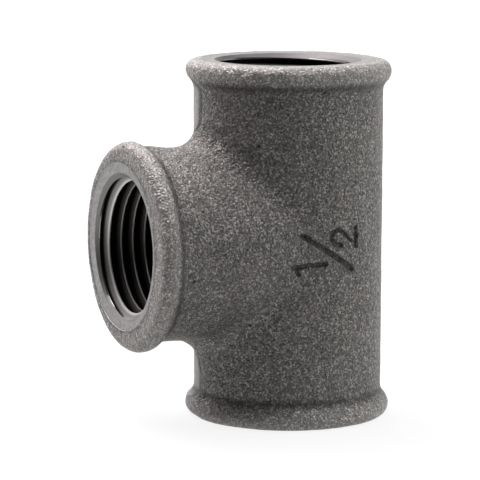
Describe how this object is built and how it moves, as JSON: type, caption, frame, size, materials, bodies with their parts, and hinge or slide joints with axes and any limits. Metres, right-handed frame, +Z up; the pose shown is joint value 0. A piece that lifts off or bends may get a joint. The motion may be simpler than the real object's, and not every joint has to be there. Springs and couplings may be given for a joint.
{
  "type": "pipe tee",
  "caption": "Equal pipe tee cast in black malleable iron, with a rounded bead round each end and an internally threaded port on the run's two ends and on the branch.",
  "frame": {"origin": "centre of the run's lower end face, on the run's axis, where the fitting stands", "axes": "+Z up along the run, +X out along the branch"},
  "size_m": [0.04, 0.0292, 0.0508],
  "materials": {
    "casting": "sand-cast grain with a dark oxide skin, bare machined mouths and threads"
  },
  "bodies": {
    "root": {"tee_body": "casting"}
  },
  "joints": []
}
